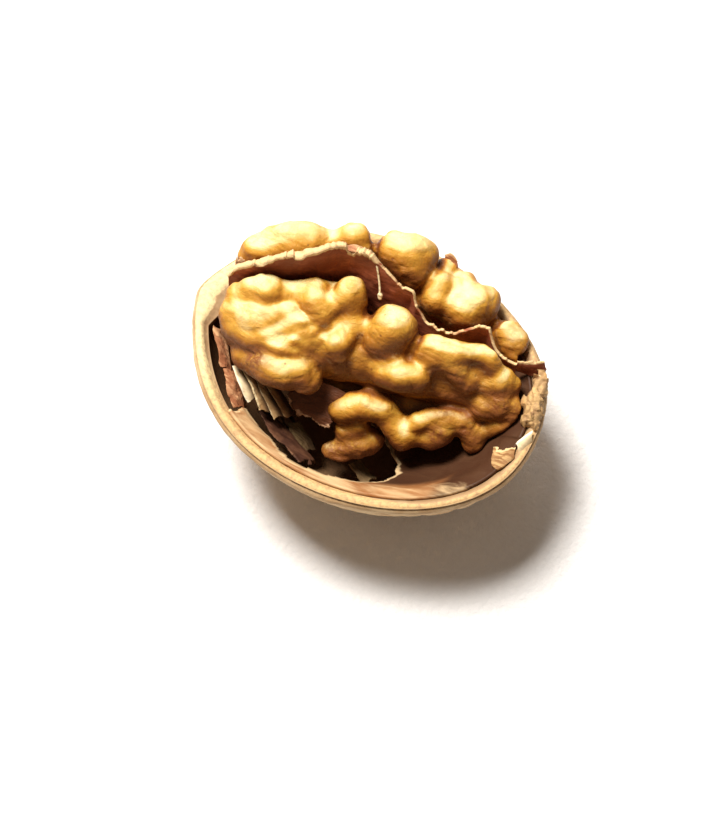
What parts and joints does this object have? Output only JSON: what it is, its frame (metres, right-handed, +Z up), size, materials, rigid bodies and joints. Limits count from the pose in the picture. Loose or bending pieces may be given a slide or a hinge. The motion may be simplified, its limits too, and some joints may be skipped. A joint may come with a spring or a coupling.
{
  "type": "walnut half with kernel",
  "caption": "Cracked walnut: a woody half shell on a small flat spot, its thin lining and papery dividing wall, and the wrinkled kernel still lying in it.",
  "frame": {"origin": "middle of the small flat spot under the half shell, which it rests on", "axes": "+X from the pointed tip to the stem end, along the nut; +Z up out of the half shell's opening; -Y towards the side where the lining shows beside the kernel"},
  "size_m": [0.0409, 0.0312, 0.0264],
  "materials": {
    "shell_wood": "dry tan nut shell, matt and lightly ribbed, with a pale cream broken seam",
    "lining_skin": "thin brown lining skin, smooth and slightly sheeny",
    "dividing_paper": "papery red-brown dividing wall with a torn cream edge",
    "seed_skin": "golden seed skin, waxy highlights on the folds and brown in the valleys"
  },
  "bodies": {
    "root": {"shell_half": "shell_wood", "shell_lining": "lining_skin", "dividing_wall": "dividing_paper", "kernel": "seed_skin"}
  },
  "joints": []
}
